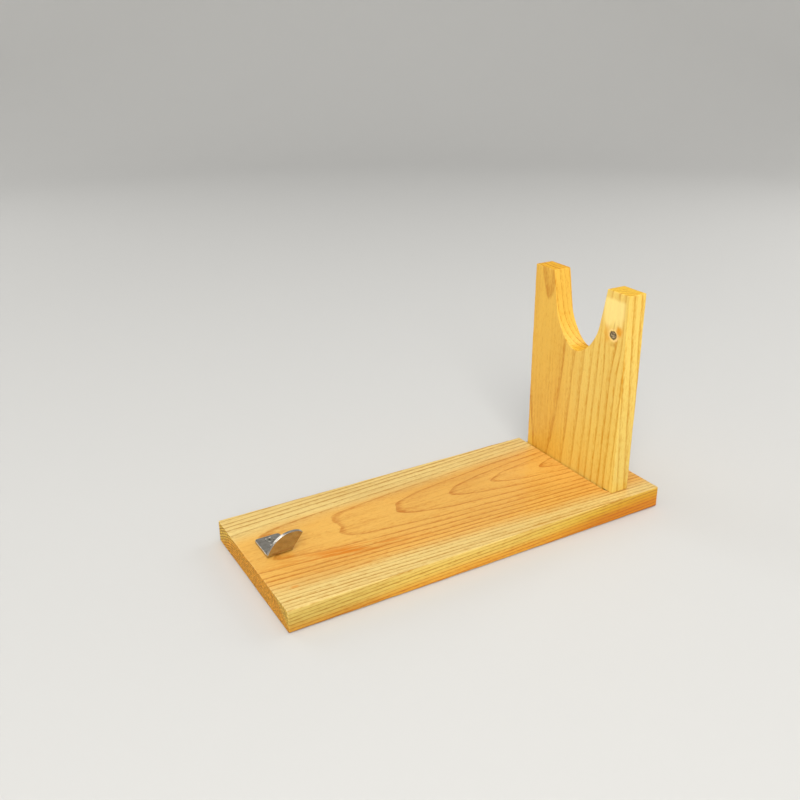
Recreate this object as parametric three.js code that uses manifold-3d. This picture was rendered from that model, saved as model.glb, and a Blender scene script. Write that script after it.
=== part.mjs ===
// Ham holder stand: a pine base board, a notched upright housed in a stopped groove across it,
// a bent steel claw that bites the ham's thick end, and the screws and pads that complete it.
//
// Millimetres. The origin is the centre of the footprint, on the surface that the stand rests on.
// +X runs along the base towards the upright, +Y across it towards the groove's open end, +Z up.
import * as THREE from "three";
import { mergeVertices } from "three/addons/utils/BufferGeometryUtils.js";
import Module from "manifold-3d";

const wasm = await Module();
wasm.setup();

// ---- Driving dimensions ----------------------------------------------------------------------

const EASE = 0.8; // arrises of the boards are taken off by this much
const BASE = { length: 400, width: 163, thick: 21, corner: 1.2 };
const UPRIGHT = { width: 136, thick: 20, rise: 201, behind: 29 }; // behind: base left beyond it
const NOTCH = { opening: 77, depth: 72.6, flare: 11, wall: 38, belly: 14 };
const GROOVE = { depth: 8, frontGap: 1.2, backGap: 0.4, stop: 2 };
const CLAW = { plate: 3, bend: 1.5, width: 24, flange: 32, crest: 20.7 };
const CLAW_PLACE = { fromEnd: 15.3, nearFace: -3.6 }; // from the end of the base, and along Y
const PAD = { diameter: 16, height: 0.8, inset: 22 };
const LONG_SCREW = { length: 45, shank: 4.6, head: 9.6, recess: 2.6, sunk: 0.4 };
const SHORT_SCREW = { length: 16, shank: 3.6, head: 7, recess: 1.8, sunk: 0 };
const UPRIGHT_SCREWS = { count: 3, spacing: 44 };
const CLEARANCE = 0.2; // round a screw in its hole
const SEAT = 0.3; // under a tongue or a countersunk head, which don't touch what is below

// ---- Places worked out from them ---------------------------------------------------------------

const baseTop = PAD.height + BASE.thick;
const uprightFront = BASE.length / 2 - UPRIGHT.behind - UPRIGHT.thick;
const uprightMiddle = uprightFront + UPRIGHT.thick / 2;
const grooveWidth = GROOVE.frontGap + UPRIGHT.thick + GROOVE.backGap;
const underGroove = BASE.thick - GROOVE.depth; // wood left below the groove
const grooveMiddle = uprightFront - GROOVE.frontGap + grooveWidth / 2;
const grooveRoundEnd = -UPRIGHT.width / 2 + GROOVE.stop + grooveWidth / 2;
const tongueNear = grooveRoundEnd + SEAT;
const tongueMiddle = (tongueNear + UPRIGHT.width / 2) / 2;
const clawLeft = -BASE.length / 2 + CLAW_PLACE.fromEnd;
const clawScrewX = clawLeft + CLAW.width / 2;
const clawScrewRows = [0.42, 0.78].map((share) => share * CLAW.flange); // from the near face

// ---- Materials -------------------------------------------------------------------------------

function finish(color, roughness, metalness) {
  return new THREE.MeshStandardMaterial({ color, roughness, metalness });
}

const varnishedPine = finish(0xd9a35c, 0.42, 0);
const stainless = finish(0xb9b6b0, 0.22, 1);
const zincPlated = finish(0xc3bfae, 0.35, 1);
const rubber = finish(0x2a2927, 0.85, 0);

// ---- Shape helpers ---------------------------------------------------------------------------

// A closed geometry as a solid that can be joined and cut.
function solidOf(geometry) {
  const bare = geometry.clone();
  bare.deleteAttribute("normal");
  bare.deleteAttribute("uv");
  const merged = mergeVertices(bare, 1e-4);
  const vertProperties = merged.attributes.position.array;
  const triVerts = new Uint32Array(merged.index.array);
  return new wasm.Manifold(new wasm.Mesh({ numProp: 3, vertProperties, triVerts }));
}

// A solid back as a flat-shaded geometry.
function geometryOf(solid) {
  const mesh = solid.getMesh();
  const geometry = new THREE.BufferGeometry();
  geometry.setAttribute("position", new THREE.BufferAttribute(mesh.vertProperties, 3));
  geometry.setIndex(new THREE.BufferAttribute(mesh.triVerts, 1));
  const faceted = geometry.toNonIndexed();
  faceted.computeVertexNormals();
  return faceted;
}

function cut(body, ...tools) {
  const left = tools.reduce((solid, tool) => solid.subtract(solidOf(tool)), solidOf(body));
  return geometryOf(left);
}

// An outline as a slab from z = 0 to the given thickness, its arrises eased where asked.
function slab(outline, thickness, ease = 0) {
  const geometry = new THREE.ExtrudeGeometry(outline, {
    depth: thickness - 2 * ease,
    bevelEnabled: ease > 0,
    bevelThickness: ease,
    bevelSize: ease,
    bevelOffset: -ease,
    bevelSegments: 2,
    curveSegments: 14,
  });
  return geometry.translate(0, 0, ease);
}

// The same slab with its outline drawn in the Y-Z plane and its thickness along +X.
function slabAlongX(outline, thickness, ease) {
  const turn = new THREE.Matrix4().makeBasis(
    new THREE.Vector3(0, 1, 0),
    new THREE.Vector3(0, 0, 1),
    new THREE.Vector3(1, 0, 0),
  );
  return slab(outline, thickness, ease).applyMatrix4(turn);
}

// The same slab with its outline drawn in the X-Z plane and its thickness along +Y.
function slabAlongY(outline, thickness) {
  return slab(outline, thickness).rotateX(Math.PI / 2).translate(0, thickness, 0);
}

// A profile of [radius, z] points, from the axis back to the axis, turned about Z.
function turned(profile, sides = 32) {
  const points = profile.map(([radius, z]) => new THREE.Vector2(radius, z));
  return new THREE.LatheGeometry(points, sides).rotateX(Math.PI / 2);
}

// A rectangle about the origin with rounded corners.
function roundedRectangle(length, width, radius) {
  const x = length / 2;
  const y = width / 2;
  const outline = new THREE.Shape();
  outline.absarc(x - radius, y - radius, radius, 0, Math.PI / 2);
  outline.absarc(radius - x, y - radius, radius, Math.PI / 2, Math.PI);
  outline.absarc(radius - x, radius - y, radius, Math.PI, 1.5 * Math.PI);
  outline.absarc(x - radius, radius - y, radius, 1.5 * Math.PI, 2 * Math.PI);
  return outline;
}

// ---- Screws and their holes --------------------------------------------------------------------

// A countersunk wood screw down Z: its head's face at z = 0 and its point at z = -length.
function screw({ length, shank, head, recess }) {
  const rim = 0.3;
  const cone = (head - shank) / 2;
  const body = turned([
    [0, -length],
    [shank / 2, -length + 1.4 * shank],
    [shank / 2, -rim - cone],
    [head / 2, -rim],
    [head / 2, 0],
    [0, 0],
  ]);
  const slot = new THREE.BoxGeometry(0.52 * head, 0.13 * head, 2 * recess);
  const crossSlot = slot.clone().rotateZ(Math.PI / 2);
  return cut(body, slot, crossSlot);
}

// The countersunk hole for that screw's head and shank, down Z from a face at z = 0.
function screwHole({ shank, head, sunk }, depth) {
  const radius = shank / 2 + CLEARANCE;
  const mouth = head / 2 + CLEARANCE + SEAT + sunk;
  return turned([
    [0, -depth],
    [radius, -depth],
    [radius, radius - mouth],
    [mouth, 0],
    [mouth, 2],
    [0, 2],
  ]);
}

// The blind hole that the shank alone runs down, from a face at z = 0.
function pilotHole({ shank }, depth) {
  const radius = shank / 2 + CLEARANCE;
  return turned([
    [0, -depth],
    [radius, -depth],
    [radius, 1],
    [0, 1],
  ]);
}

// ---- Base board: z = 0 is its underside ----------------------------------------------------------

// The stopped groove's plan: round at the near end, run out through the far edge.
function groovePlan() {
  const half = grooveWidth / 2;
  const outline = new THREE.Shape();
  outline.absarc(grooveMiddle, grooveRoundEnd, half, Math.PI, 2 * Math.PI);
  outline.lineTo(grooveMiddle + half, BASE.width / 2 + 1);
  outline.lineTo(grooveMiddle - half, BASE.width / 2 + 1);
  return outline;
}

// Where the screws that hold the upright stand, along Y.
function uprightScrewPlaces() {
  const { count, spacing } = UPRIGHT_SCREWS;
  return Array.from({ length: count }, (_, i) => tongueMiddle + (i - (count - 1) / 2) * spacing);
}

function baseBoard() {
  const plan = roundedRectangle(BASE.length, BASE.width, BASE.corner);
  const board = slab(plan, BASE.thick, EASE);
  const groove = slab(groovePlan(), GROOVE.depth + 1).translate(0, 0, underGroove);
  const fromBelow = uprightScrewPlaces().map((y) =>
    screwHole(LONG_SCREW, BASE.thick).rotateX(Math.PI).translate(uprightMiddle, y, 0),
  );
  const clawPilot = pilotHole(SHORT_SCREW, SHORT_SCREW.length - CLAW.plate + 1);
  const fromAbove = clawScrewRows.map((row) =>
    clawPilot.clone().translate(clawScrewX, CLAW_PLACE.nearFace + row, BASE.thick),
  );
  return cut(board, groove, ...fromBelow, ...fromAbove);
}

// ---- Upright board: x = 0 is its front face, z = 0 the base's top -----------------------------------

// Round from the near shoulder: foot, tongue, far edge, far horn, notch, near horn.
function uprightOutline() {
  const half = UPRIGHT.width / 2;
  const flare = THREE.MathUtils.degToRad(NOTCH.flare);
  const mouth = NOTCH.opening / 2;
  const bottom = UPRIGHT.rise - NOTCH.depth;
  const wallEnd = [mouth - NOTCH.wall * Math.tan(flare), UPRIGHT.rise - NOTCH.wall];
  const pull = [wallEnd[0] - NOTCH.belly * Math.sin(flare), wallEnd[1] - NOTCH.belly * Math.cos(flare)];
  const outline = new THREE.Shape();
  outline.moveTo(-half, 0);
  outline.lineTo(tongueNear, 0);
  outline.lineTo(tongueNear, SEAT - GROOVE.depth);
  outline.lineTo(half, SEAT - GROOVE.depth);
  outline.lineTo(half, UPRIGHT.rise);
  outline.lineTo(mouth, UPRIGHT.rise);
  outline.lineTo(...wallEnd);
  outline.bezierCurveTo(...pull, NOTCH.belly, bottom, 0, bottom);
  outline.bezierCurveTo(-NOTCH.belly, bottom, -pull[0], pull[1], -wallEnd[0], wallEnd[1]);
  outline.lineTo(-mouth, UPRIGHT.rise);
  outline.lineTo(-half, UPRIGHT.rise);
  return outline;
}

function uprightBoard() {
  const board = slabAlongX(uprightOutline(), UPRIGHT.thick, EASE);
  const reach = LONG_SCREW.length - underGroove + 2;
  const pilots = uprightScrewPlaces().map((y) =>
    pilotHole(LONG_SCREW, reach).rotateX(Math.PI).translate(UPRIGHT.thick / 2, y, SEAT - GROOVE.depth),
  );
  return cut(board, ...pilots);
}

// ---- Claw: x = 0 is its left side, y = 0 its near face, z = 0 the base's top ------------------------

// The bent plate's section across the base: upright blade, bend, flange towards +Y.
function clawSection() {
  const { plate, bend, flange } = CLAW;
  const middle = plate + bend;
  const height = CLAW.crest + 1;
  const outline = new THREE.Shape();
  outline.moveTo(0, height);
  outline.lineTo(0, middle);
  outline.absarc(middle, middle, middle, Math.PI, 1.5 * Math.PI);
  outline.lineTo(flange, 0);
  outline.lineTo(flange, plate);
  outline.absarc(middle, middle, bend, 1.5 * Math.PI, Math.PI, true);
  outline.lineTo(plate, height);
  return outline;
}

// The plate's outline seen from the near side: a round back, and a point that leans to +X.
function clawProfile() {
  const { crest, width, plate } = CLAW;
  const outline = new THREE.Shape();
  outline.moveTo(0, -1);
  outline.lineTo(width, -1);
  outline.lineTo(width, plate);
  outline.lineTo(1.43 * width, 0.83 * crest);
  outline.quadraticCurveTo(1.31 * width, crest, 1.01 * width, crest);
  outline.bezierCurveTo(0.44 * width, crest, 0.15 * width, 0.53 * crest, 0, plate + 0.5);
  return outline;
}

// The flange's plan, its two far corners rounded off.
function flangePlan() {
  const radius = 3;
  const reach = 1.5 * CLAW.width; // past the point, so that only the two corners are cut
  const outline = new THREE.Shape();
  outline.moveTo(-1, -1);
  outline.lineTo(reach, -1);
  outline.lineTo(reach, CLAW.plate + 1);
  outline.lineTo(CLAW.width, CLAW.plate + 1);
  outline.absarc(CLAW.width - radius, CLAW.flange - radius, radius, 0, Math.PI / 2);
  outline.absarc(radius, CLAW.flange - radius, radius, Math.PI / 2, Math.PI);
  outline.lineTo(0, CLAW.plate + 1);
  outline.lineTo(-1, CLAW.plate + 1);
  return outline;
}

function claw() {
  const bent = solidOf(slabAlongX(clawSection(), 2 * CLAW.width, 0));
  const profile = solidOf(slabAlongY(clawProfile(), 2 * CLAW.flange).translate(0, -1, 0));
  const plan = solidOf(slab(flangePlan(), 2 * CLAW.crest).translate(0, 0, -1));
  const plate = geometryOf(bent.intersect(profile).intersect(plan));
  const holes = clawScrewRows.map((y) =>
    screwHole(SHORT_SCREW, CLAW.plate + 1).translate(CLAW.width / 2, y, CLAW.plate),
  );
  return cut(plate, ...holes);
}

// ---- Foot pad: z = 0 is its underside ------------------------------------------------------------

function footPad() {
  const radius = PAD.diameter / 2;
  const round = 0.4;
  return turned(
    [
      [0, 0],
      [radius - round, 0],
      [radius, round],
      [radius, PAD.height],
      [0, PAD.height],
    ],
    40,
  );
}

// ---- The stand -------------------------------------------------------------------------------

const stand = new THREE.Group();
stand.name = "ham_holder_stand";

function place(name, geometry, material, x, y, z) {
  const mesh = new THREE.Mesh(geometry, material);
  mesh.name = name;
  mesh.position.set(x, y, z);
  stand.add(mesh);
  return mesh;
}

place("base_board", baseBoard(), varnishedPine, 0, 0, PAD.height);
place("upright_board", uprightBoard(), varnishedPine, uprightFront, 0, baseTop);
place("claw_bracket", claw(), stainless, clawLeft, CLAW_PLACE.nearFace, baseTop);

clawScrewRows.forEach((row, i) => {
  const y = CLAW_PLACE.nearFace + row;
  const headFace = baseTop + CLAW.plate;
  place(`claw_screw_${i + 1}`, screw(SHORT_SCREW), zincPlated, clawScrewX, y, headFace);
});

uprightScrewPlaces().forEach((y, i) => {
  const headFace = PAD.height + LONG_SCREW.sunk;
  const name = `upright_screw_${i + 1}`;
  const mesh = place(name, screw(LONG_SCREW), zincPlated, uprightMiddle, y, headFace);
  mesh.rotation.x = Math.PI; // driven upwards from under the base
});

for (const [end, alongX] of [["left", -1], ["right", 1]]) {
  for (const [side, alongY] of [["near", -1], ["far", 1]]) {
    const x = alongX * (BASE.length / 2 - PAD.inset);
    const y = alongY * (BASE.width / 2 - PAD.inset);
    place(`foot_pad_${end}_${side}`, footPad(), rubber, x, y, 0);
  }
}

export default stand;
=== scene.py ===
"""Looks for the ham holder stand: two varnished pine boards, a steel claw, screws and pads.

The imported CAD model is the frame, in metres. The wood and the pieces are worked out in millimetres,
which MM turns into metres. The floor, the lights and the camera are in metres.
"""
import math

import bmesh
import bpy
from mathutils import Euler, Matrix, Quaternion, Vector


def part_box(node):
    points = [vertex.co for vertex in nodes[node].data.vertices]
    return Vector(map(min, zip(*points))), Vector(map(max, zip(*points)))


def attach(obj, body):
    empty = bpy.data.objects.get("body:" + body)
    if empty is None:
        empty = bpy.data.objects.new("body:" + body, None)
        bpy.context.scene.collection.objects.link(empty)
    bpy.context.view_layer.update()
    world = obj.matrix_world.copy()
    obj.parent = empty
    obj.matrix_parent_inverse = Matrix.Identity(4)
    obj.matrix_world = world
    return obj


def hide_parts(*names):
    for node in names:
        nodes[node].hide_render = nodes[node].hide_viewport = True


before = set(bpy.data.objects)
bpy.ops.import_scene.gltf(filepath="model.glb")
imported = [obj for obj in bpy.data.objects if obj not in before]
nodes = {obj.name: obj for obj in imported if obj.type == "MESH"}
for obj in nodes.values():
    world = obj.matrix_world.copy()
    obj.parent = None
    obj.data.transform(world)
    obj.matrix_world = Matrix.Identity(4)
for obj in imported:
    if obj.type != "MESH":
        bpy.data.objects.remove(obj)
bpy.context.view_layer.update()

MM = 0.001

base_low, base_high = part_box("base_board")
upright_low, upright_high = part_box("upright_board")
claw_low, claw_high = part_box("claw_bracket")


# ---- Node graphs --------------------------------------------------------------------------------


class Field:
    """A number that varies over a surface. Arithmetic on it adds Math nodes to its graph."""

    def __init__(self, graph, socket):
        self.graph = graph
        self.socket = socket

    def apply(self, operation, *others):
        node = self.graph.node("ShaderNodeMath", operation=operation)
        for socket, value in zip(node.inputs, (self, *others)):
            self.graph.feed(socket, value)
        return Field(self.graph, node.outputs[0])

    def __add__(self, other):
        return self.apply("ADD", other)

    def __sub__(self, other):
        return self.apply("SUBTRACT", other)

    def __mul__(self, other):
        return self.apply("MULTIPLY", other)

    def __truediv__(self, other):
        return self.apply("DIVIDE", other)

    def __pow__(self, other):
        return self.apply("POWER", other)

    def __neg__(self):
        return self * -1.0

    def __rsub__(self, other):
        return -self + other

    def sqrt(self):
        return self.apply("SQRT")

    def size(self):
        return self.apply("ABSOLUTE")

    def floor(self):
        return self.apply("FLOOR")

    def fraction(self):
        return self.apply("FRACT")

    def ramp(self, low, high, start=0.0, end=1.0):
        """Goes smoothly from start at low to end at high."""
        node = self.graph.node("ShaderNodeMapRange", interpolation_type="SMOOTHSTEP")
        for socket, value in zip(node.inputs, (self, low, high, start, end)):
            self.graph.feed(socket, value)
        return Field(self.graph, node.outputs[0])

    def bell(self, middle, width):
        """1 at middle, falling away smoothly over width on either side."""
        return (-(((self - middle) / width) ** 2.0)).apply("EXPONENT")


class Graph:
    """One material's node tree."""

    def __init__(self, name):
        self.material = bpy.data.materials.new(name)
        self.material.use_nodes = True
        self.tree = self.material.node_tree
        self.tree.nodes.clear()

    def node(self, kind, **settings):
        made = self.tree.nodes.new(kind)
        for key, value in settings.items():
            setattr(made, key, value)
        return made

    def feed(self, socket, value):
        """Sets a socket to a plain value, or links a field or another socket to it."""
        if isinstance(value, Field):
            value = value.socket
        if isinstance(value, bpy.types.NodeSocket):
            self.tree.links.new(value, socket)
        else:
            socket.default_value = value

    def place(self):
        """Where a point is in the row frame, in millimetres, as three fields."""
        split = self.node("ShaderNodeSeparateXYZ")
        self.feed(split.inputs[0], self.node("ShaderNodeTexCoord").outputs["Object"])
        return [Field(self, out) / MM for out in split.outputs]

    def facing(self):
        """How much the surface faces each axis, either way, as three fields."""
        split = self.node("ShaderNodeSeparateXYZ")
        self.feed(split.inputs[0], self.node("ShaderNodeNewGeometry").outputs["True Normal"])
        return [Field(self, out).size() for out in split.outputs]

    def vector(self, *parts):
        node = self.node("ShaderNodeCombineXYZ")
        for socket, value in zip(node.inputs, parts):
            self.feed(socket, value)
        return node.outputs[0]

    def noise(self, *parts, detail=0.0, roughness=0.5):
        """Smooth noise about 0 at a point of one or three fields, one bump to a unit.

        So x / 5 gives bumps 5 mm long. Without detail it seldom leaves -0.5 to 0.5.
        """
        dimensions = "3D" if len(parts) > 1 else "1D"
        node = self.node("ShaderNodeTexNoise", noise_dimensions=dimensions)
        if dimensions == "3D":
            self.feed(node.inputs["Vector"], self.vector(*parts))
        else:
            self.feed(node.inputs["W"], parts[0])
        node.inputs["Scale"].default_value = 1.0
        node.inputs["Detail"].default_value = detail
        node.inputs["Roughness"].default_value = roughness
        return Field(self, node.outputs[0]) * 2.0 - 1.0

    def blend(self, share, one, other, kind="MIX"):
        """A colour, from one where share is 0 to other where it is 1."""
        node = self.node("ShaderNodeMix", data_type="RGBA", blend_type=kind)
        self.feed(node.inputs["Factor"], share)
        self.feed(node.inputs["A"], one)
        self.feed(node.inputs["B"], other)
        return node.outputs["Result"]

    def bump(self, height):
        """A normal for a height in millimetres."""
        node = self.node("ShaderNodeBump")
        node.inputs["Strength"].default_value = 1.0
        node.inputs["Distance"].default_value = MM
        self.feed(node.inputs["Height"], height)
        return node.outputs[0]

    def finish(self, **inputs):
        """Ends the graph in a Principled shader with these inputs, spaces written as _."""
        shader = self.node("ShaderNodeBsdfPrincipled")
        for name, value in inputs.items():
            self.feed(shader.inputs[name.replace("_", " ")], value)
        output = self.node("ShaderNodeOutputMaterial")
        self.tree.links.new(shader.outputs[0], output.inputs[0])
        return self.material


def srgb(red, green, blue):
    """A colour picked on a screen, 0 to 255, as the linear numbers that a shader takes."""
    return tuple(((part / 255 + 0.055) / 1.055) ** 2.4 for part in (red, green, blue)) + (1.0,)


# ---- Wood ---------------------------------------------------------------------------------------

# Both boards are solid wood: a point's colour comes from where it lay in the log, so each face
# shows its own cut of the same rings. Lengths here are in millimetres, in the row frame.

# pith is where the log's middle lies, across the board and then into it. ring is a year's growth.
# rings is how many years lie within radius where the grain's axis is at 0. From there lean is how
# many rings a millimetre of grain climbs through, and dip how many more it does right over the pith.

# The base is flat-sawn with its grain along X. Its pith lay under it, and the log tapers.
BASE_LOG = {
    "pith": (14.5, -98.2),
    "radius": 120.0,
    "ring": 2.576,
    "lean": 0.0085,
    "dip": 0.009,
    "rings": 100.19,
}
# The upright's grain runs along Z. Its pith lay behind it, past its far edge.
UPRIGHT_LOG = {
    "pith": (45.0, 251.0),
    "radius": 108.9,
    "ring": 5.9,
    "lean": 0.005,
    "dip": 0.0,
    "rings": 100.5,
}

# Early is the wide pale part of a ring and late the dark line that ends it.
BASE_SAP = {"early": srgb(227, 198, 124), "late": srgb(182, 134, 54)}
BASE_HEART = {"early": srgb(227, 175, 83), "late": srgb(190, 118, 33)}
UPRIGHT_SAP = {"early": srgb(238, 203, 100), "late": srgb(206, 146, 34)}
# the upright's far side takes these deeper colours as painted shade
UPRIGHT_SHADED_WOOD = {"early": srgb(233, 185, 74), "late": srgb(196, 128, 20)}

# End grain's shade, how far its torn pores vary that, and how far its rings darken it
BASE_END = {"shade": 0.98, "pores": 0.3, "rings": 0.6}
UPRIGHT_END = {"shade": 0.92, "pores": 0.07, "rings": 0.0}
END_TINT = (1.0, 0.89, 0.42)  # it drinks the varnish and turns deeper and yellower

RESIN = srgb(208, 120, 10)
# a painted highlight for the upright's upper front, where light falls brighter
PAINTED_HIGHLIGHT = srgb(252, 226, 138)
# Painted shade: these colours are multiplied over the grain, which shows through them.
PAINTED_SHADE_YELLOW = srgb(255, 248, 60)
PAINTED_SHADE_AMBER = srgb(231, 192, 48)
PAINTED_SHADE_GREY = srgb(140, 150, 190)

# A pin knot through the near horn, a little shorter along the grain than across it
PIN_KNOT = {"along": 181.1, "across": -50.7, "radius": 4.1, "squat": 1.13}
# Resin-rich wood on either side of it, placed from its middle, along the grain and then across
KNOT_FLARES = [
    {"middle": (5.0, -7.4), "reach": (5.2, 4.2), "strength": 1.0},
    {"middle": (-1.0, 8.4), "reach": (9.0, 4.2), "strength": 0.5},
]
KNOT_COLOURS = {
    "core_dark": srgb(74, 60, 40),
    "core_light": srgb(172, 152, 114),
    "rim": srgb(60, 42, 20),
    "halo": srgb(252, 216, 138),
    "flare": srgb(228, 154, 16),
    "swirl": srgb(178, 120, 30),
}

# The base's heartwood is a rounded column about a line below it, wider towards the upright.
HEART_COLUMN = {"middle": (-5.0, -108.2), "radius": 141.0, "widens": 0.0155}
# Resin-rich streaks slant past the claw, and one fleck lies near the left end.
FLAMES = {"middle": (-118.0, -26.6), "reach": (58.0, 10.0), "slant": 0.14}
FLECK = {"middle": (-181.0, -52.7), "reach": (4.2, 1.4)}

# Where the painted shade fades in, from nothing to full: along Y for the boards' near edges,
BASE_NEAR_EDGE = (-78.0, -79.6)
UPRIGHT_NEAR_EDGE = (-66.6, -67.4)
# and for the painted highlight above the knot, along Y for its sides and along Z for the rest
HIGHLIGHT_PATCH = {
    "far_side": (-30.0, -40.0),
    "near_side": (-66.5, -60.0),
    "foot": (181.0, 199.0),
    "top": (217.45, 213.21),
    "horn_top": (222.7, 221.8),
}


def ring_count(graph, log, along, across, depth):
    """How many rings out from the pith a point lies, and how steeply a face cuts them there."""
    aside = across - log["pith"][0]
    inward = depth - log["pith"][1]
    radius = (aside**2.0 + inward**2.0).sqrt()
    lean = aside.bell(0.0, 20.0) * log["dip"] + log["lean"]
    count = (radius - log["radius"]) / log["ring"] - along * lean
    wander = graph.noise(along / 120, across / 45, depth / 45, detail=1.0)
    ripple = graph.noise(along / 34, across / 9, depth / 9)
    return count + wander * 0.12 + ripple * 0.07 + log["rings"], aside.size().ramp(5.0, 60.0)


def latewood(graph, count, steep, frayed):
    """How dark a ring's wood is: it deepens outwards to a line that ends sharply.

    Where a face runs along the rings rather than across them, steep is 0 and the line is narrow
    against the wide band between. frayed feathers its edges with the grain.
    """
    years = (count * 1.9).apply("SINE") * 0.03 + (count * 4.3).apply("SINE") * 0.03
    count = count + years + frayed * (steep * 0.04 + 0.012)
    phase = count.fraction()
    strength = graph.noise(count.floor() * 7.31).ramp(-0.5, 0.5, 0.65, 1.0)
    soft = phase.ramp(0.1, 1.0) * 0.35
    line = phase.ramp(0.84 - steep * 0.3, 0.955 - steep * 0.07) * 0.65
    return (soft + line) * phase.ramp(0.97 - steep * 0.04, 1.0, 1.0, 0.0) * strength


def fibres(graph, along, across, depth):
    """Hairs, flecks and streaks that run with the grain, within about 1, and dark resin canals."""
    hair = graph.noise(along / 9, across / 0.4, depth / 0.4, detail=2.0, roughness=0.7) * 1.6
    fleck = graph.noise(along / 5, across / 1.5, depth / 1.5, detail=1.0) * 1.6
    streak = graph.noise(along / 80, across / 2.6, depth / 2.6, detail=3.0, roughness=0.65) * 1.6
    canal = graph.noise(along / 3.5, across / 0.5, depth / 0.5).ramp(0.36, 0.62)
    return hair, fleck, streak, canal


def round_knot(knot, along, across):
    """Across, bent so that the grain parts round a knot."""
    off = across - knot["across"]
    away = (((along - knot["along"]) / 2.4) ** 2.0 + off**2.0).sqrt()
    return across - off * away.bell(0.0, 10.0) * 0.8


def wood(name, log, grain_axis, sap, heart, heartwood, contrast, end, marks, knot=None):
    """Varnished pine, its grain along X or Z. contrast is how dark its rings stand out.

    heartwood(graph, x, y, z) is 1 in the heart and 0 in the sapwood, and on the upright where painted
    shade deepens its far side. marks are (strength(graph, x, y, z), colour, blend kind), laid over the
    grain in turn.
    """
    graph = Graph(name)
    x, y, z = graph.place()
    along, across, depth = (x, y, z) if grain_axis == "X" else (z, y, x)
    end_on = graph.facing()["XYZ".index(grain_axis)].ramp(0.8, 0.97)
    bent_across = round_knot(knot, along, across) if knot else across

    hair, fleck, streak, canal = fibres(graph, along, bent_across, depth)
    count, steep = ring_count(graph, log, along, bent_across, depth)
    late = latewood(graph, count, steep.apply("MAXIMUM", end_on), hair + fleck)
    late = late * (end_on * end["rings"] + contrast)
    grain = late + streak * 0.4 + fleck * 0.36 + hair * 0.3

    inner = heartwood(graph, x, y, z)
    early_colour = graph.blend(inner, sap["early"], heart["early"])
    late_colour = graph.blend(inner, sap["late"], heart["late"])
    colour = graph.blend(grain, early_colour, late_colour)
    drift = graph.noise(along / 110, across / 30, depth / 30, detail=2.0)
    colour = graph.blend(drift.ramp(-0.2, 0.8, 0.0, 0.3), colour, late_colour)
    colour = graph.blend(canal * 0.45, colour, late_colour)
    for strength, mark_colour, kind in marks:
        colour = graph.blend(strength(graph, x, y, z), colour, mark_colour, kind)

    pores = graph.noise(x / 1.5, y / 1.5, z / 1.5, detail=2.0).ramp(-0.3, 0.3, -1.0, 0.6)
    end_grain = pores * end["pores"] - late * end["rings"] * 0.22 + end["shade"] - 1.0
    shade = end_on * end_grain + 1.0 + hair * 0.04 + fleck * 0.05
    tint = graph.vector(*(shade * (end_on * (part - 1.0) + 1.0) for part in END_TINT))
    colour = graph.blend(1.0, colour, tint, kind="MULTIPLY")
    if knot:
        colour = pin_knot(graph, knot, along, across, colour)

    relief = hair * 0.012 + streak * 0.014 - late * 0.02 - canal * 0.02
    relief = relief + end_on * pores * end["pores"] * 0.3
    varnish = graph.noise(x / 5, y / 5, z / 5, detail=1.0) * 0.012
    return graph.finish(
        Base_Color=colour,
        Roughness=late * -0.05 + hair * 0.03 + 0.42 + end_on * 0.4,
        Specular_IOR_Level=0.22,
        Coat_Weight=end_on * -0.15 + 0.16,
        Coat_Roughness=0.28,
        Normal=graph.bump(relief + varnish),
    )


def spot(one, other, middle, reach):
    """1 inside an oval of two fields round a middle, falling away smoothly past its reach."""
    ways = [((field - at) / far) ** 2.0 for field, at, far in zip((one, other), middle, reach)]
    return (ways[0] + ways[1]).bell(0.0, 1.0)


def pin_knot(graph, knot, along, across, colour):
    """A small dead branch that runs through the board: mottled grey wood in a dark, ragged rim."""
    radius = knot["radius"]
    up = along - knot["along"]
    side = across - knot["across"]
    wobble = graph.noise(along / 2.2, across / 2.2, 0.0) * 0.6
    ragged = graph.noise(along / 5, across / 1.4, 8.0, detail=2.0)
    up_ragged = up + ragged * 4.0
    side_ragged = side + graph.noise(along / 6, across / 3, 12.0) * 3.0
    away = ((up * knot["squat"]) ** 2.0 + side**2.0).sqrt() + wobble

    # The wood round it: a pale halo, resinous flares, a crack above it and a swirl below
    colour = graph.blend(away.bell(radius * 1.42, radius * 0.33) * 0.8, colour, KNOT_COLOURS["halo"])
    for flare in KNOT_FLARES:
        share = spot(up_ragged, side_ragged, flare["middle"], flare["reach"]) * flare["strength"]
        share = share * away.ramp(radius * 1.2, radius * 1.7) * (ragged * 0.6 + 1.0)
        colour = graph.blend(share, colour, KNOT_COLOURS["flare"])
    crack = spot(up_ragged, side + up * 0.12, middle=(9.0, 0.6), reach=(5.0, 0.7))
    swirl = spot(up_ragged, side_ragged, middle=(-9.0, 0.0), reach=(2.4, 4.0))
    colour = graph.blend(crack * 0.4 + swirl * 0.3, colour, KNOT_COLOURS["swirl"])

    # The branch itself
    mottle = graph.noise(along / 1.5, across / 1.5, 4.0, detail=2.0).ramp(-0.2, 0.2)
    core = graph.blend(mottle, KNOT_COLOURS["core_dark"], KNOT_COLOURS["core_light"])
    inside = away.ramp(radius - 0.25, radius + 0.25, 1.0, 0.0)
    colour = graph.blend(inside, colour, core)
    return graph.blend(away.bell(radius * 0.97, radius * 0.2) * 0.85, colour, KNOT_COLOURS["rim"])


def base_heartwood(graph, x, y, z):
    """1 inside the base's column of heartwood, fading out over its rim."""
    aside = y - HEART_COLUMN["middle"][0]
    below = z - HEART_COLUMN["middle"][1]
    past = (aside**2.0 + below**2.0).sqrt() - x * HEART_COLUMN["widens"] - HEART_COLUMN["radius"]
    past = past + graph.noise(x / 70, y / 14, z / 14) * 1.5
    return past.ramp(-4.5, 3.5, 1.0, 0.0)


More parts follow.
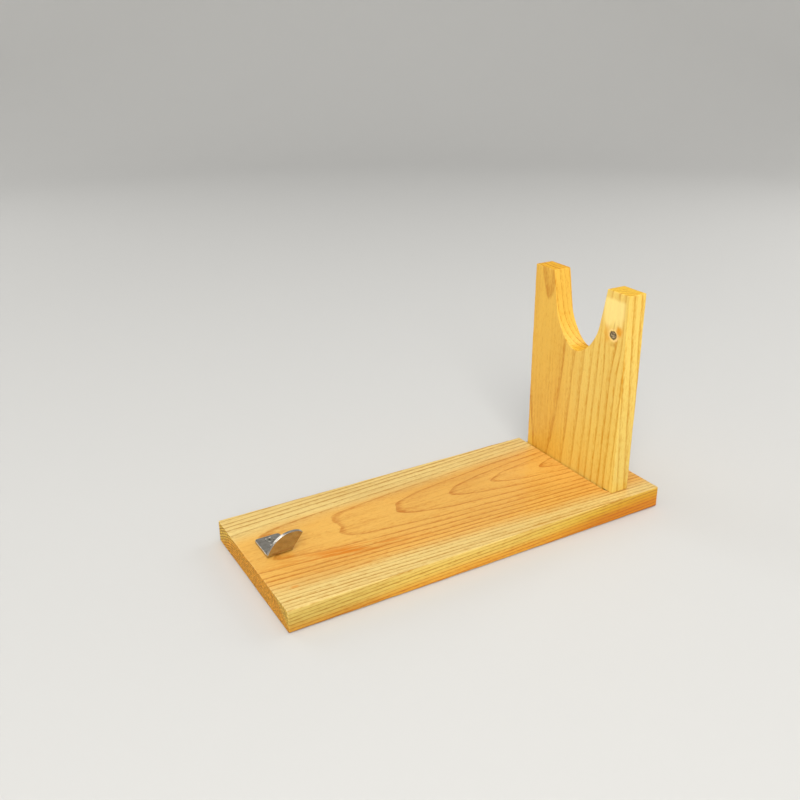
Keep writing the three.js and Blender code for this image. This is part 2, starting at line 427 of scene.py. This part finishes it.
def upright_painted_shade(graph, x, y, z):
    """Painted shade: the upright's wood deepens slowly towards its far edge."""
    return (y + graph.noise(z / 90, y / 20, x / 20) * 10.0).ramp(-30.0, 35.0)


def base_flames(graph, x, y, z):
    """Orange streaks of resin-rich wood that slant past the claw, and a fleck near the left end."""
    along = x - FLAMES["middle"][0]
    slanted = y - FLAMES["middle"][1] + along * FLAMES["slant"]
    streak = graph.noise(x / 26, slanted / 2.2, z / 6, detail=1.0).ramp(-0.2, 0.3)
    region = slanted.bell(0.0, FLAMES["reach"][1]) * along.bell(0.0, FLAMES["reach"][0])
    return streak * region + spot(x, y, FLECK["middle"], FLECK["reach"]) * 0.6


def near_edge(y, z):
    """1 on the base's near edge, where painted shade goes, fading towards its top."""
    return (y + z * 0.12).ramp(*BASE_NEAR_EDGE)


def painted_shade_edge_yellow(graph, x, y, z):
    """Painted shade: the near edge is made yellower than the top, which alone catches a pale sheen,
    more so towards the upright.
    """
    return near_edge(y, z) * x.ramp(0.0, 150.0, 0.45, 0.8)


def painted_shade_edge_foot(graph, x, y, z):
    """Painted shade: it deepens along its foot, where less light reaches, and towards the upright."""
    foot = (z + graph.noise(x / 45, 3.0, z / 7) * 6.0).ramp(14.0, 2.5, 0.0, 0.36)
    return near_edge(y, z) * (foot + (x - z * 2.0).ramp(20.0, 160.0, 0.06, 0.86))


def painted_shade_edge_left(graph, x, y, z):
    """Painted shade: it darkens towards the claw."""
    return near_edge(y, z) * x.ramp(-50.0, -180.0, 0.0, 0.28)


def painted_shade_upright_foot(graph, x, y, z):
    """Painted shade: the upright's narrow near edge darkens towards its foot, away from the light
    above.
    """
    return y.ramp(*UPRIGHT_NEAR_EDGE) * z.ramp(190.0, 10.0, 0.0, 0.16)


def upright_painted_highlight(graph, x, y, z):
    """A painted highlight where light falls brighter on the upper front: the patch above the knot
    fades out raggedly below. Past its top it goes on faintly.
    """
    ragged = z + graph.noise(x / 14, y / 6, z / 22, detail=1.0) * 16.0
    less_ragged = (z + ragged * 0.06) / 1.06
    height = ragged.ramp(*HIGHLIGHT_PATCH["foot"]) * less_ragged.ramp(*HIGHLIGHT_PATCH["top"], 0.15, 1.0)
    width = y.ramp(*HIGHLIGHT_PATCH["far_side"]) * y.ramp(*HIGHLIGHT_PATCH["near_side"])
    return height * width * z.ramp(*HIGHLIGHT_PATCH["horn_top"]) * 0.9


base_wood = wood(
    "base_pine",
    log=BASE_LOG,
    grain_axis="X",
    sap=BASE_SAP,
    heart=BASE_HEART,
    heartwood=base_heartwood,
    contrast=1.0,
    end=BASE_END,
    marks=[
        # painted shade on the near edge: yellower, deeper at its foot, darker towards the left end
        (painted_shade_edge_yellow, PAINTED_SHADE_YELLOW, "MULTIPLY"),
        (painted_shade_edge_foot, PAINTED_SHADE_AMBER, "MULTIPLY"),
        (painted_shade_edge_left, PAINTED_SHADE_GREY, "MULTIPLY"),
        (base_flames, RESIN, "MIX"),
    ],
)
upright_wood = wood(
    "upright_pine",
    log=UPRIGHT_LOG,
    grain_axis="Z",
    sap=UPRIGHT_SAP,
    # the far side's deeper colours are painted shade
    heart=UPRIGHT_SHADED_WOOD,
    heartwood=upright_painted_shade,
    contrast=0.8,
    end=UPRIGHT_END,
    marks=[
        # painted shade low on the narrow near edge, and a painted highlight on the upper front
        (painted_shade_upright_foot, PAINTED_SHADE_GREY, "MULTIPLY"),
        (upright_painted_highlight, PAINTED_HIGHLIGHT, "MIX"),
    ],
    knot=PIN_KNOT,
)


# ---- Steel, zinc and rubber ---------------------------------------------------------------------


def stainless_steel():
    """Plate polished along X: hair-fine scratches, faint smudges."""
    graph = Graph("polished_stainless")
    x, y, z = graph.place()
    scratch = graph.noise(x / 14, y / 0.16, z / 0.16, detail=3.0, roughness=0.7)
    smudge = graph.noise(x / 6, y / 4, z / 4, detail=2.0)
    colour = graph.blend(smudge.ramp(-0.4, 0.5), srgb(188, 184, 177), srgb(168, 162, 151))
    return graph.finish(
        Base_Color=colour,
        Metallic=1.0,
        Roughness=scratch * 0.09 + smudge * 0.1 + 0.21,
        Normal=graph.bump(scratch * 0.004 + smudge * 0.006),
    )


def zinc_plate():
    """Bright zinc over rolled steel: mottled, a little yellow."""
    graph = Graph("bright_zinc")
    x, y, z = graph.place()
    mottle = graph.noise(x / 0.9, y / 0.9, z / 0.9, detail=3.0, roughness=0.6)
    colour = graph.blend(mottle.ramp(-0.4, 0.5), srgb(198, 196, 188), srgb(166, 160, 142))
    return graph.finish(
        Base_Color=colour,
        Metallic=1.0,
        Roughness=mottle * 0.15 + 0.34,
        Normal=graph.bump(mottle * 0.006),
    )


def moulded_rubber():
    """Matt black rubber with a fine moulded grain and a little dust."""
    graph = Graph("moulded_rubber")
    x, y, z = graph.place()
    grain = graph.noise(x / 0.35, y / 0.35, z / 0.35, detail=2.0)
    dust = graph.noise(x / 3, y / 3, z / 3, detail=3.0).ramp(-0.1, 0.6)
    colour = graph.blend(dust, srgb(36, 35, 34), srgb(62, 59, 55))
    return graph.finish(
        Base_Color=colour,
        Roughness=dust * 0.12 + 0.72,
        Normal=graph.bump(grain * 0.03),
    )


steel = stainless_steel()
zinc = zinc_plate()
rubber = moulded_rubber()


# ---- Solid shapes, in millimetres until they are finished ---------------------------------------

EDGE_STEPS = 4  # facets round a quarter turn of an eased edge
SPACING = 6.0  # most that two points of a board's outline stand apart, so its edges can vary
WELD = 1e-4  # points closer than this are one
SHARP_ANGLE = 35  # degrees, past which an edge isn't shaded smooth


def rounded(corners):
    """An outline from (x, y, radius) corners, each one replaced by an arc of its radius."""
    outline = []
    for i, (x, y, radius) in enumerate(corners):
        corner = Vector((x, y))
        if not radius:
            outline.append(corner)
            continue
        back = (Vector(corners[i - 1][:2]) - corner).normalized()
        ahead = (Vector(corners[(i + 1) % len(corners)][:2]) - corner).normalized()
        half = back.angle(ahead) / 2
        centre = corner + (back + ahead).normalized() * radius / math.sin(half)
        start = corner + back * radius / math.tan(half) - centre
        turn = start.angle_signed(corner + ahead * radius / math.tan(half) - centre)
        for step in range(EDGE_STEPS + 1):
            outline.append(centre + Matrix.Rotation(-turn * step / EDGE_STEPS, 2) @ start)
    return outline


def bezier(points, steps):
    """Points along a cubic curve, without its last."""
    a, b, c, d = (Vector(point) for point in points)
    shares = [i / steps for i in range(steps)]
    return [
        a * (1 - t) ** 3 + b * 3 * t * (1 - t) ** 2 + c * 3 * t**2 * (1 - t) + d * t**3 for t in shares
    ]


def spaced(outline):
    """The same outline with points added along its long runs."""
    fuller = []
    for i, here in enumerate(outline):
        ahead = outline[(i + 1) % len(outline)]
        parts = max(1, math.ceil((ahead - here).length / SPACING))
        fuller += [here.lerp(ahead, part / parts) for part in range(parts)]
    return fuller


def uneven(turn, seed):
    """Smooth unevenness from about -1 to 1, as turn goes once round an outline from 0 to 1."""
    waves = [math.sin(2 * math.pi * count * turn + seed * count) for count in (7, 17, 31, 53)]
    return sum(waves) / 2.2


def slab(low, high, ease):
    """A plate's section as (inset, height) pairs, with both edges rounded to the radius ease."""
    angles = [step / EDGE_STEPS * math.pi / 2 for step in range(EDGE_STEPS + 1)]
    edge = [(ease * (1 - math.sin(angle)), ease * (1 - math.cos(angle))) for angle in angles]
    below = [(inset, low + height) for inset, height in edge]
    return below + [(inset, high - height) for inset, height in reversed(edge)]


def prism(outline, section_at):
    """A solid over an anticlockwise outline. section_at(turn) is its section part way round."""
    shape = bmesh.new()
    count = len(outline)
    columns = []
    for i, here in enumerate(outline):
        before = (here - outline[i - 1]).normalized()
        after = (outline[(i + 1) % count] - here).normalized()
        inwards = Vector((-before.y - after.y, before.x + after.x)) / (1 + before.dot(after))
        column = []
        for inset, height in section_at(i / count):
            column.append(shape.verts.new((*(here + inwards * inset), height)))
        columns.append(column)
    for i, column in enumerate(columns):
        beside = columns[i - 1]
        for step in range(len(column) - 1):
            shape.faces.new((beside[step], column[step], column[step + 1], beside[step + 1]))
    shape.faces.new([column[0] for column in reversed(columns)])
    shape.faces.new([column[-1] for column in columns])
    return shape


def parted(shape, step):
    """The same shape with its wide flat faces parted along a grid, so that cuts in it stay clean."""
    for axis in (Vector((1.0, 0.0, 0.0)), Vector((0.0, 1.0, 0.0))):
        reaches = [vertex.co.dot(axis) for vertex in shape.verts]
        low, high = min(reaches), max(reaches)
        lines = math.floor((high - low) / step)
        for line in range(1, lines + 1):
            place = axis * (low + (high - low) * line / (lines + 1))
            parts = [*shape.verts, *shape.edges, *shape.faces]
            bmesh.ops.bisect_plane(shape, geom=parts, plane_co=place, plane_no=axis)
    return shape


def turned(profile, sides, radius_at=None):
    """A solid turned about Z from (radius, z) pairs, lowest first.

    radius_at(radius, z, turn) may change a radius part way round.
    """
    shape = bmesh.new()
    rings = []
    for radius, z in profile:
        ring = []
        for side in range(sides):
            turn = side / sides
            reach = radius_at(radius, z, turn) if radius_at else radius
            angle = 2 * math.pi * turn
            ring.append(shape.verts.new((reach * math.cos(angle), reach * math.sin(angle), z)))
        rings.append(ring)
    for low, high in zip(rings, rings[1:]):
        for side in range(sides):
            ahead = (side + 1) % sides
            shape.faces.new((low[side], low[ahead], high[ahead], high[side]))
    shape.faces.new(list(reversed(rings[0])))
    shape.faces.new(rings[-1])
    return shape


def as_object(name, shape, matrix=None):
    """A shape as an object, moved by the matrix."""
    if matrix:
        shape.transform(matrix)
    mesh = bpy.data.meshes.new(name)
    shape.to_mesh(mesh)
    shape.free()
    made = bpy.data.objects.new(name, mesh)
    bpy.context.scene.collection.objects.link(made)
    return made


def carve(body, *cutters):
    """Cuts the cutters out of the body for good."""
    for cutter in cutters:
        modifier = body.modifiers.new("cut", "BOOLEAN")
        modifier.operation = "DIFFERENCE"
        modifier.solver = "EXACT"
        modifier.object = cutter
    settled = body.evaluated_get(bpy.context.evaluated_depsgraph_get())
    body.data = bpy.data.meshes.new_from_object(settled)
    body.modifiers.clear()
    for cutter in cutters:
        bpy.data.objects.remove(cutter)


def stand_in_for(node, made, material):
    """Ends a piece: in metres, smooth over its eased edges, shown in place of the CAD node."""
    whole = bmesh.new()
    whole.from_mesh(made.data)
    bmesh.ops.remove_doubles(whole, verts=whole.verts, dist=WELD)
    bmesh.ops.dissolve_degenerate(whole, edges=whole.edges, dist=WELD)
    bmesh.ops.triangulate(whole, faces=[face for face in whole.faces if len(face.verts) > 4])
    whole.to_mesh(made.data)
    whole.free()
    made.data.transform(Matrix.Scale(MM, 4))
    made.data.materials.clear()
    made.data.materials.append(material)
    made.data.shade_smooth()
    made.data.set_sharp_from_angle(angle=math.radians(SHARP_ANGLE))
    weighted = made.modifiers.new("flat_faces_stay_flat", "WEIGHTED_NORMAL")
    weighted.keep_sharp = True
    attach(made, "root")
    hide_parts(node)


def in_mm(point):
    return Vector(point) / MM


# ---- Boards -------------------------------------------------------------------------------------

BOARD_EASE = 0.8  # the arrises are sanded off by hand to about this radius
EASE_VARIES = 0.35
BASE_SANDING, UPRIGHT_SANDING = 1.7, 4.1  # so that no two arrises vary alike
GRID = 17.0  # the boards' wide faces are parted this closely
BASE_CORNER = 1.4  # at each corner of the base's outline
UPRIGHT_CORNER = 1.0
NOTCH = {"opening": 77.0, "depth": 72.6, "flare": 11.0, "wall": 38.0, "belly": 14.0}
NOTCH_STEPS = 14  # on each half of its round bottom
GROOVE = {"depth": 8.0, "front_gap": 1.2, "back_gap": 0.4, "wear": 0.25}
GROOVE_STEPS = 24  # round its end
TONGUE = {"near": -54.9, "end_gap": 0.3}  # its near end, and from there to the groove's round end
OVERCUT = 5.0  # how far a cut is carried out past a board's side

LONG_SCREW = {"shank": 4.6, "head": 9.6, "recess": 2.6, "pitch": 2.1, "plain": 0.32, "sunk": 0.4}
SHORT_SCREW = {"shank": 3.6, "head": 7.0, "recess": 1.8, "pitch": 1.5, "plain": 0.15, "sunk": 0.0}
BASE_BORE, UPRIGHT_BORE, CLAW_BORE = 25.0, 35.0, 14.0  # depths of the screws' holes in the wood
HOLE_GAP = 0.2  # round a screw
HEAD_GAP = 0.3  # under its head
HOLE_SIDES, PILOT_SIDES = 48, 32

UPRIGHT_SCREWS = sorted(name for name in nodes if name.startswith("upright_screw"))
CLAW_SCREWS = sorted(name for name in nodes if name.startswith("claw_screw"))
FOOT_PADS = sorted(name for name in nodes if name.startswith("foot_pad"))
FLIP = Matrix.Rotation(math.pi, 4, "X")


def middle_and_reach(name):
    """A node's middle in plan with its lowest and highest z, in millimetres."""
    low, high = (in_mm(corner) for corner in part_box(name))
    return (low + high).xy / 2, low.z, high.z


def on(name, height, flipped=False):
    """A matrix that moves a shape over a node's middle in plan, at a height, perhaps flipped."""
    middle, _, _ = middle_and_reach(name)
    move = Matrix.Translation((*middle, height))
    return move @ FLIP if flipped else move


def sanded(low, high, seed):
    """A board's section, its arrises eased a little more here and less there."""
    return lambda turn: slab(low, high, BOARD_EASE * (1 + EASE_VARIES * uneven(turn, seed)))


def screw_hole(screw, depth):
    """The countersunk hole for a screw, down Z from a face at z = 0."""
    radius = screw["shank"] / 2 + HOLE_GAP
    mouth = screw["head"] / 2 + HOLE_GAP + HEAD_GAP + screw["sunk"]
    profile = [(radius, -depth), (radius, radius - mouth), (mouth, 0.0), (mouth, OVERCUT)]
    return turned(profile, HOLE_SIDES)


def pilot_hole(screw, depth):
    """The straight hole for a screw's shank, down Z from a face at z = 0."""
    radius = screw["shank"] / 2 + HOLE_GAP
    return turned([(radius, -depth), (radius, OVERCUT)], PILOT_SIDES)


def groove_plan(front, back, past):
    """The groove's outline: round at its near end, run out past the far edge."""
    middle, half = (front + back) / 2, (back - front) / 2
    end = TONGUE["near"] - TONGUE["end_gap"]
    plan = []
    for step in range(GROOVE_STEPS + 1):
        angle = math.pi * (1 + step / GROOVE_STEPS)
        plan.append(Vector((middle + half * math.cos(angle), end + half * math.sin(angle))))
    return [*plan, Vector((back, past)), Vector((front, past))]


def base_board():
    """The base: eased all round, a stopped groove across it, and its screws' holes."""
    low, high = (in_mm(corner) for corner in (base_low, base_high))
    corners = [(low.x, low.y), (high.x, low.y), (high.x, high.y), (low.x, high.y)]
    outline = spaced(rounded([(*corner, BASE_CORNER) for corner in corners]))
    planed = parted(prism(outline, sanded(low.z, high.z, BASE_SANDING)), GRID)
    board = as_object("base_board_planed", planed)

    front = in_mm(upright_low).x - GROOVE["front_gap"]
    back = in_mm(upright_high).x + GROOVE["back_gap"]
    wear = GROOVE["wear"]
    lip = [(0.0, high.z - wear), (-wear - 1.0, high.z + 1.0)]
    section = [(0.0, high.z - GROOVE["depth"]), *lip]
    groove = prism(groove_plan(front, back, high.y + OVERCUT), lambda turn: section)
    cutters = [as_object("groove", groove)]
    for name in UPRIGHT_SCREWS:
        hole = screw_hole(LONG_SCREW, BASE_BORE)
        cutters.append(as_object("hole", hole, on(name, low.z, flipped=True)))
    for name in CLAW_SCREWS:
        hole = pilot_hole(SHORT_SCREW, CLAW_BORE)
        cutters.append(as_object("hole", hole, on(name, high.z)))
    carve(board, *cutters)
    stand_in_for("base_board", board, base_wood)


def notch_curve(middle, top):
    """The U's edge from its far lip down, round and up to its near lip."""
    flare = math.radians(NOTCH["flare"])
    lip, bottom = NOTCH["opening"] / 2, top - NOTCH["depth"]
    wall_end = Vector((lip - NOTCH["wall"] * math.tan(flare), top - NOTCH["wall"]))
    pull = wall_end - NOTCH["belly"] * Vector((math.sin(flare), math.cos(flare)))
    deepest = Vector((0.0, bottom))
    far = bezier([wall_end, pull, (NOTCH["belly"], bottom), deepest], NOTCH_STEPS)
    near = [Vector((-point.x, point.y)) for point in reversed(far)]
    return [Vector((point.x + middle, point.y)) for point in [*far, deepest, *near]]


def upright_board():
    """The upright: its outline drawn in the Y-Z plane and its thickness along X."""
    low, high = (in_mm(corner) for corner in (upright_low, upright_high))
    shoulder = in_mm(base_high).z
    middle = (low.y + high.y) / 2
    lip = NOTCH["opening"] / 2
    corner = UPRIGHT_CORNER
    foot = [
        (low.y, shoulder, corner),
        (TONGUE["near"], shoulder, 0.0),
        (TONGUE["near"], low.z, corner),
        (high.y, low.z, corner),
        (high.y, high.z, corner),
        (middle + lip, high.z, corner),
    ]
    notch = [(point.x, point.y, 0.0) for point in notch_curve(middle, high.z)]
    near_horn = [(middle - lip, high.z, corner), (low.y, high.z, corner)]
    outline = spaced(rounded([*foot, *notch, *near_horn]))
    planed = parted(prism(outline, sanded(low.x, high.x, UPRIGHT_SANDING)), GRID)
    stood = Matrix(((0, 0, 1, 0), (1, 0, 0, 0), (0, 1, 0, 0), (0, 0, 0, 1)))
    board = as_object("upright_board_planed", planed, stood)
    cutters = []
    for name in UPRIGHT_SCREWS:
        hole = pilot_hole(LONG_SCREW, UPRIGHT_BORE)
        cutters.append(as_object("hole", hole, on(name, low.z, flipped=True)))
    carve(board, *cutters)
    stand_in_for("upright_board", board, upright_wood)


# ---- Claw ---------------------------------------------------------------------------------------

CLAW = {"plate": 3.0, "bend": 1.5, "width": 24.0, "ease": 0.45, "flange_corner": 3.0}
HEEL = 0.5  # how far above the plate's thickness the blade's curved back starts
# Curves of the blade's edge, in shares of the flange's width and the claw's height
TIP_CURVE = [(1.43, 0.83), (1.35, 0.943), (1.21, 1.0), (1.01, 1.0)]
BACK_CURVE = [(1.01, 1.0), (0.44, 1.0), (0.15, 0.53)]
TIP_STEPS, BACK_STEPS = 10, 26
BEND_CUTS = 10


def claw():
    """A plate cut flat to its outline, its edges ground smooth, then bent up along one line."""
    low, high = (in_mm(corner) for corner in (claw_low, claw_high))
    plate, width, corner = CLAW["plate"], CLAW["width"], CLAW["flange_corner"]
    turn = plate + CLAW["bend"]  # the bend's outer radius
    crest, reach = high.z - low.z, high.y - low.y
    flat = reach - turn  # length of the flange that stays flat
    bent = (turn - plate / 2) * math.pi / 2  # length that the bend takes up, at mid-thickness

    def rise(height):
        """How far along the flat pattern a point of the blade lies, from its height."""
        if height >= turn:
            return flat + bent + height - turn
        return flat + bent * math.acos(1 - height / turn) / (math.pi / 2)

    def scaled(curve):
        return [(across * width, up * crest) for across, up in curve]

    tip = bezier(scaled(TIP_CURVE), TIP_STEPS)
    back = bezier([*scaled(BACK_CURVE), (0.0, plate + HEEL)], BACK_STEPS)
    blade = [(point.x, rise(point.y), 0.0) for point in [*tip, *back]]
    flange = [(0.0, 0.0, corner), (width, 0.0, corner), (width, rise(plate), 0.0)]
    outline = rounded([*flange, *blade, (0.0, rise(plate + HEEL), 0.0)])
    shape = prism(outline, lambda turn: slab(0.0, plate, CLAW["ease"]))
    for cut in range(BEND_CUTS + 1):
        bmesh.ops.bisect_plane(
            shape,
            geom=[*shape.verts, *shape.edges, *shape.faces],
            plane_co=(0, flat + bent * cut / BEND_CUTS, 0),
            plane_no=(0, 1, 0),
        )
    for vertex in shape.verts:
        x, along, through = vertex.co
        radius = turn - through
        if along <= flat:
            y, z = reach - along, through
        elif along <= flat + bent:
            angle = (along - flat) / bent * math.pi / 2
            y, z = turn - radius * math.sin(angle), turn - radius * math.cos(angle)
        else:
            y, z = through, along - flat - bent + turn
        vertex.co = low + Vector((x, y, z))
    bmesh.ops.recalc_face_normals(shape, faces=shape.faces)
    bracket = as_object("claw_bracket_bent", shape)
    holes = []
    for name in CLAW_SCREWS:
        hole = screw_hole(SHORT_SCREW, plate + OVERCUT)
        holes.append(as_object("hole", hole, on(name, low.z + plate)))
    carve(bracket, *holes)
    stand_in_for("claw_bracket", bracket, steel)


# ---- Screws and pads ----------------------------------------------------------------------------

SCREW_SIDES = 28
RIM = 0.3  # height of a screw head's edge
CHAMFER = 0.08  # round the head's face
POINT = 1.4  # length of a screw's point in shank widths
POINT_GAP = 0.02  # a point ends this far short of the CAD screw's
ROWS_A_TURN = 8  # rows of points to each turn of the thread
THREAD_DEPTH = 0.24  # in shank widths
ARM, ARM_HALF_WIDTH = 0.26, 0.065  # the cross recess, in head widths

PAD = {"radius": 8.0, "edge": 0.45, "dish": 0.2, "dish_floor": 0.55, "dish_rim": 0.62}
PAD_LIP = 0.12  # chamfer against the wood
PAD_SIDES = 64


def threaded(size, length):
    """A countersunk screw's body with a rolled thread, its face at z = 0 and its point below."""
    shank, head, pitch = size["shank"] / 2, size["head"] / 2, size["pitch"]
    neck = shank - head - RIM
    thread_top = neck - size["plain"] * (length + neck)
    rows = math.ceil((thread_top + length) / pitch * ROWS_A_TURN)
    profile = []
    for row in range(rows + 1):
        up = (thread_top + length) * row / rows + POINT_GAP
        share = up / (POINT * size["shank"])
        profile.append((shank * min(1.0, max(0.02, share)), up - length))
    profile += [(shank, neck), (head, -RIM), (head, -CHAMFER), (head - CHAMFER, 0.0)]

    def radius_at(radius, z, turn):
        if z > thread_top:
            return radius
        phase = (z / pitch - turn) % 1.0
        crest = min(1.0, max(0.0, 3.2 * abs(phase - 0.5) - 0.25))  # 0 along the thread's root
        fade = min(1.0, (thread_top - z) / (0.8 * pitch))  # it runs out below the plain shank
        depth = min(THREAD_DEPTH * size["shank"], 0.55 * radius)
        return radius - depth * (1.0 - crest) * fade

    return turned(profile, SCREW_SIDES, radius_at)


def cross_recess(size):
    """The cutter for a screw's cross recess, narrower at its floor."""
    arm, half = ARM * size["head"], ARM_HALF_WIDTH * size["head"]
    cross = []
    for quarter in range(4):
        spin = Matrix.Rotation(quarter * math.pi / 2, 2)
        cross += [spin @ Vector(point) for point in ((half, -half), (arm, -half), (arm, half))]
    section = [(0.55 * half, -size["recess"]), (0.0, 0.0), (0.0, 1.0)]
    return prism(cross, lambda turn: section)


def screw(node, size, face_down):
    """A countersunk wood screw in a CAD screw's place."""
    _, low, high = middle_and_reach(node)
    made = as_object(node + "_threaded", threaded(size, high - low))
    carve(made, as_object("recess", cross_recess(size)))
    made.data.transform(on(node, low if face_down else high, flipped=face_down))
    stand_in_for(node, made, zinc)


def foot_pad(node):
    """A moulded disc with a rounded lower edge and a shallow dished sole."""
    _, low, high = middle_and_reach(node)
    radius, edge, thick = PAD["radius"], PAD["edge"], high - low
    profile = [(radius * PAD["dish_floor"], PAD["dish"]), (radius * PAD["dish_rim"], 0.0)]
    for step in range(EDGE_STEPS + 1):
        angle = step / EDGE_STEPS * math.pi / 2
        profile.append((radius - edge + edge * math.sin(angle), edge - edge * math.cos(angle)))
    profile += [(radius, thick - PAD_LIP), (radius - PAD_LIP, thick)]
    made = as_object(node + "_moulded", turned(profile, PAD_SIDES), on(node, low))
    stand_in_for(node, made, rubber)


base_board()
upright_board()
claw()
for name in UPRIGHT_SCREWS:
    screw(name, LONG_SCREW, face_down=True)
for name in CLAW_SCREWS:
    screw(name, SHORT_SCREW, face_down=False)
for name in FOOT_PADS:
    foot_pad(name)


# ---- Floor, light and camera --------------------------------------------------------------------

# The floor: flat as far as its first radius, then a quarter turn up into a round wall
FLOOR = {"flat": 2.2, "turn": 1.2, "wall": 1.6, "sides": 96, "steps": 12}
FLOOR_PAINT = srgb(204, 203, 200)

AIM = (0.0, 0.0, 0.08)  # what the lights face
# For each light: place, width, watts, colour
LIGHTS = {
    "key": ((-1.4, -2.35, 2.2), 1.8, 96.0, (1.0, 0.985, 0.955)),
    "overhead": ((-0.2, -0.4, 1.9), 1.6, 12.0, (1.0, 1.0, 1.0)),
    "right_fill": ((2.0, 0.1, 1.2), 1.2, 12.0, (1.0, 1.0, 1.0)),
    "back_fill": ((-0.9, 2.0, 1.2), 1.2, 8.0, (1.0, 1.0, 1.0)),
}
SKY = {"colour": (0.95, 0.97, 1.0, 1.0), "strength": 0.38}

# The camera looks down and to the right of straight ahead, and leans a little. Angles in degrees.
CAMERA = {
    "place": (-0.41615, -0.64597, 0.46259),
    "down": 23.36,
    "right": 29.64,
    "roll": -0.590,
    "lens": 40.911,
}


def floor():
    """A plain pale floor that turns up into a round wall far from the stand."""
    flat, turn, sides, steps = FLOOR["flat"], FLOOR["turn"], FLOOR["sides"], FLOOR["steps"]
    profile = [(0.001, 0.0), (flat / 2, 0.0)]  # from a point under the stand outwards
    for step in range(steps + 1):
        angle = step / steps * math.pi / 2
        profile.append((flat + turn * math.sin(angle), turn - turn * math.cos(angle)))
    profile.append((flat + turn, turn + FLOOR["wall"]))
    shape = turned(profile, sides)
    shape.faces.ensure_lookup_table()
    bmesh.ops.delete(shape, geom=[shape.faces[-1]], context="FACES_ONLY")  # no lid on the wall
    made = as_object("floor", shape)
    made.data.shade_smooth()
    paint = Graph("floor_paint").finish(Base_Color=FLOOR_PAINT, Roughness=0.75)
    made.data.materials.append(paint)


def soft_light(name, place, width, watts, colour):
    """A square area light that faces the stand."""
    light = bpy.data.lights.new(name, "AREA")
    light.size = width
    light.energy = watts
    light.color = colour
    lamp = bpy.data.objects.new(name, light)
    lamp.location = place
    lamp.rotation_euler = (Vector(AIM) - Vector(place)).to_track_quat("-Z", "Y").to_euler()
    bpy.context.scene.collection.objects.link(lamp)


def sky():
    """An even, faintly cool light from all sides."""
    world = bpy.data.worlds.new("studio")
    world.use_nodes = True
    background = world.node_tree.nodes["Background"]
    background.inputs["Color"].default_value = SKY["colour"]
    background.inputs["Strength"].default_value = SKY["strength"]
    bpy.context.scene.world = world


def camera():
    """The photo's own view, fitted to the corners and edges of both boards."""
    data = bpy.data.cameras.new("camera")
    data.lens = CAMERA["lens"]
    data.sensor_width = 36.0
    data.clip_start = 0.01
    data.clip_end = 50.0
    made = bpy.data.objects.new("camera", data)
    made.location = CAMERA["place"]
    aim = Euler((math.radians(90 - CAMERA["down"]), 0.0, math.radians(-CAMERA["right"])))
    roll = Quaternion((0.0, 0.0, 1.0), math.radians(CAMERA["roll"]))
    made.rotation_mode = "QUATERNION"
    made.rotation_quaternion = aim.to_quaternion() @ roll
    bpy.context.scene.collection.objects.link(made)
    bpy.context.scene.camera = made


floor()
for name, settings in LIGHTS.items():
    soft_light(name, *settings)
sky()
camera()
bpy.context.scene.view_settings.view_transform = "Standard"
